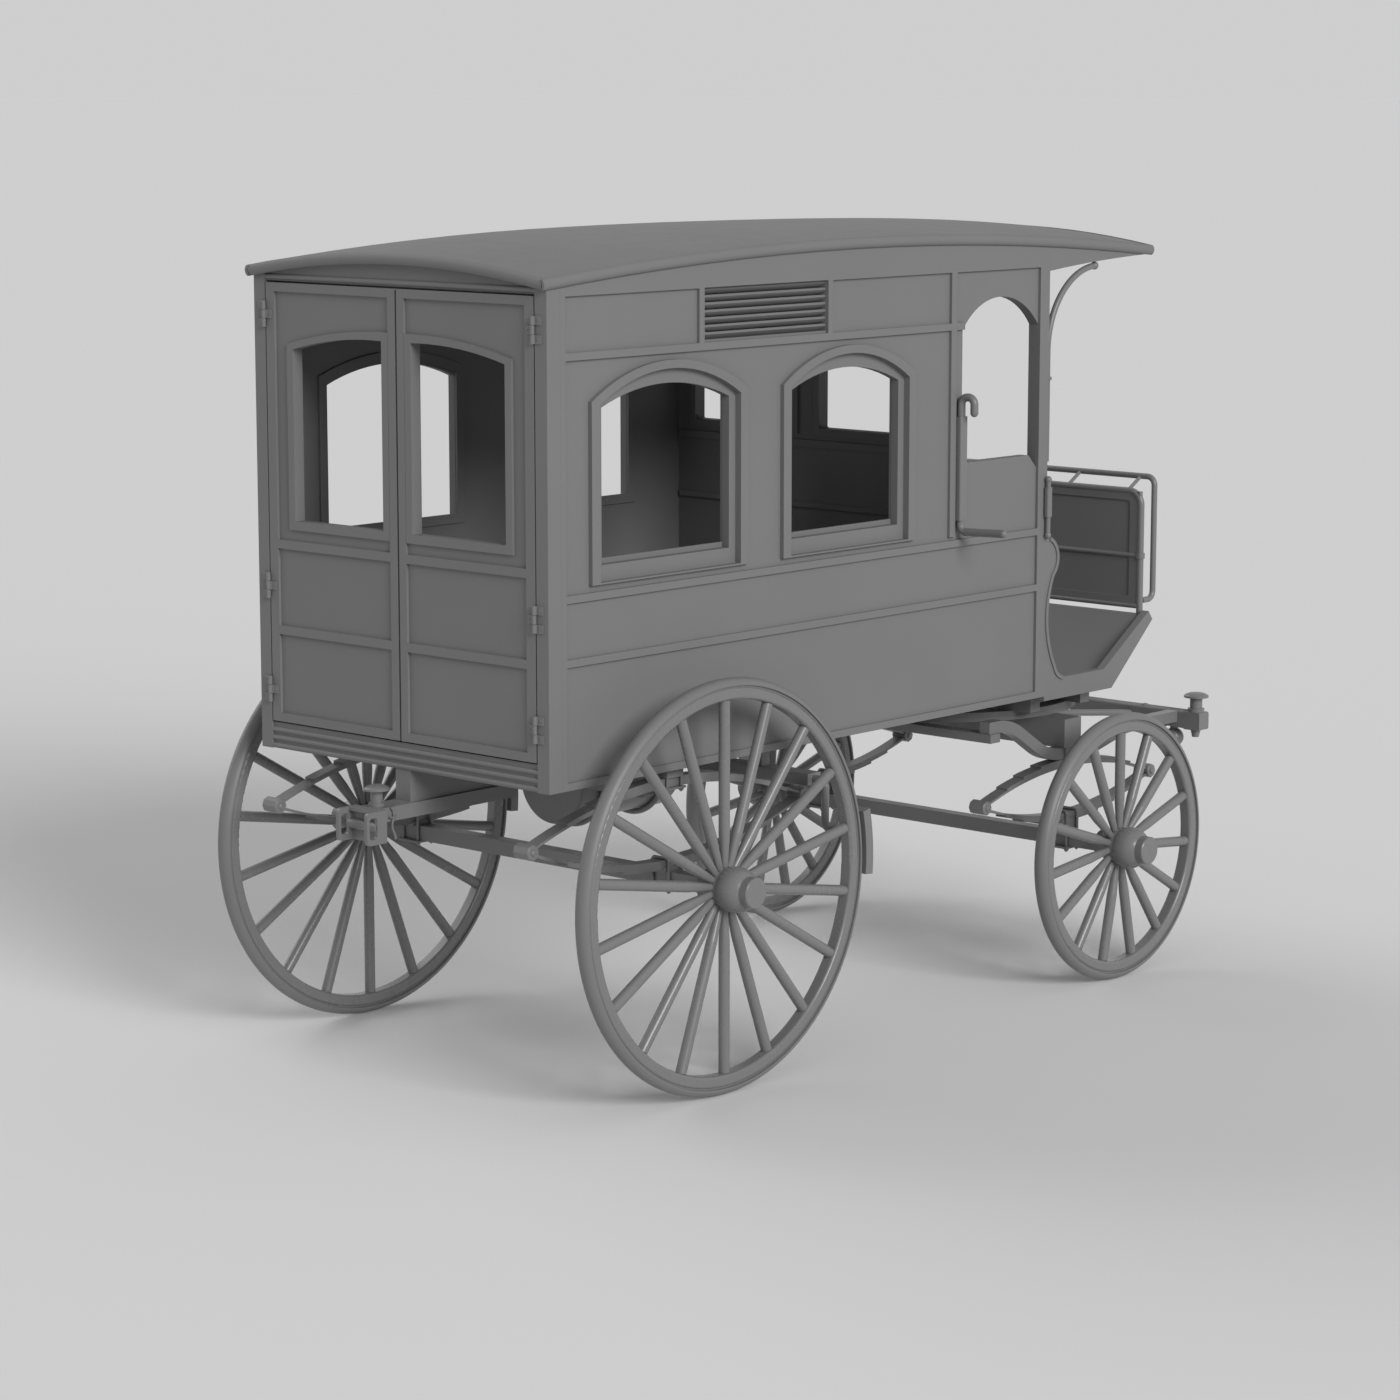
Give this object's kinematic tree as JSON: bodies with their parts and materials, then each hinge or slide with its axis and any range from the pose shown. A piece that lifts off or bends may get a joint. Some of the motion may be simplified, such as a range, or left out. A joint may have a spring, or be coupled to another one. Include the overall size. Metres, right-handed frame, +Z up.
{
  "type": "horse drawn carriage",
  "caption": "Enclosed horse drawn carriage with a bowed roof, side windows, rear double doors, driver's cab, elliptic springs and a turntable fore-carriage.",
  "frame": {"origin": "bottom centre of the bounding box, on the ground", "axes": "+X forward, +Y to the carriage's left, +Z up"},
  "size_m": [3.385, 1.738, 2.467],
  "materials": {
    "painted_wood": "satin grey paint",
    "painted_iron": "satin grey paint",
    "tyre_rubber": "satin grey"
  },
  "bodies": {
    "carriage_body": {"brake": "painted_iron", "bulkhead": "painted_wood", "canopy_brackets": "painted_iron", "canopy_fascia": "painted_wood", "dash": "painted_iron", "driver_bench": "painted_wood", "floor": "painted_wood", "floor_trough": "painted_iron", "footwell": "painted_wood", "grab_handles": "painted_iron", "hooked_irons": "painted_iron", "passenger_benches": "painted_wood", "post_hinges": "painted_iron", "rear_axle": "painted_iron", "rear_frame": "painted_wood", "rear_springs": "painted_iron", "rear_transom": "painted_wood", "rein_rail": "painted_iron", "roof": "painted_wood", "roof_moulding": "painted_wood", "side_wall_left": "painted_wood", "side_wall_right": "painted_wood", "tow_beam": "painted_iron", "tow_bolt": "painted_iron", "tow_head": "painted_iron", "trough_straps": "painted_iron", "upper_ring": "painted_iron", "vent_louvres": "painted_wood"},
    "fore_carriage": {"front_axle": "painted_iron", "front_bolster": "painted_wood", "front_springs": "painted_iron", "futchells": "painted_iron", "king_pin": "painted_iron", "lower_ring": "painted_iron", "roller_bolts": "painted_iron", "splinter_bar": "painted_wood", "splinter_ferrules": "painted_iron", "splinter_stays": "painted_iron", "sway_bar": "painted_iron"},
    "wheel_rear_right": {"wheel_rear_right_felloe": "painted_wood", "wheel_rear_right_hub": "painted_wood", "wheel_rear_right_spokes": "painted_wood", "wheel_rear_right_tyre": "tyre_rubber"},
    "wheel_rear_left": {"wheel_rear_left_felloe": "painted_wood", "wheel_rear_left_hub": "painted_wood", "wheel_rear_left_spokes": "painted_wood", "wheel_rear_left_tyre": "tyre_rubber"},
    "wheel_front_right": {"wheel_front_right_felloe": "painted_wood", "wheel_front_right_hub": "painted_wood", "wheel_front_right_spokes": "painted_wood", "wheel_front_right_tyre": "tyre_rubber"},
    "wheel_front_left": {"wheel_front_left_felloe": "painted_wood", "wheel_front_left_hub": "painted_wood", "wheel_front_left_spokes": "painted_wood", "wheel_front_left_tyre": "tyre_rubber"},
    "rear_door_right_leaf": {"rear_door_right": "painted_wood", "rear_door_right_hinges": "painted_iron"},
    "rear_door_left_leaf": {"rear_door_left": "painted_wood", "rear_door_left_hinges": "painted_iron"}
  },
  "joints": [
    {"name": "wheel_rear_right_spin", "type": "hinge", "parent": "carriage_body", "child": "wheel_rear_right", "pos_m": [-0.9305, -0.745, 0.61], "axis": [0, 1, 0], "continuous": true},
    {"name": "wheel_rear_left_spin", "type": "hinge", "parent": "carriage_body", "child": "wheel_rear_left", "pos_m": [-0.9305, 0.745, 0.61], "axis": [0, 1, 0], "continuous": true},
    {"name": "wheel_front_right_spin", "type": "hinge", "parent": "fore_carriage", "child": "wheel_front_right", "pos_m": [1.0115, -0.745, 0.4387], "axis": [0, 1, 0], "continuous": true},
    {"name": "wheel_front_left_spin", "type": "hinge", "parent": "fore_carriage", "child": "wheel_front_left", "pos_m": [1.0115, 0.745, 0.4387], "axis": [0, 1, 0], "continuous": true},
    {"name": "steering", "type": "hinge", "parent": "carriage_body", "child": "fore_carriage", "pos_m": [1.0115, 0, 0.86], "axis": [0, 0, 1], "range_deg": [-60, 60]},
    {"name": "rear_door_right_swing", "type": "hinge", "parent": "carriage_body", "child": "rear_door_right_leaf", "pos_m": [-1.5023, -0.5475, 1.6], "axis": [0, 0, 1], "range_deg": [0, 110]},
    {"name": "rear_door_left_swing", "type": "hinge", "parent": "carriage_body", "child": "rear_door_left_leaf", "pos_m": [-1.5023, 0.5475, 1.6], "axis": [0, 0, -1], "range_deg": [0, 110]}
  ]
}
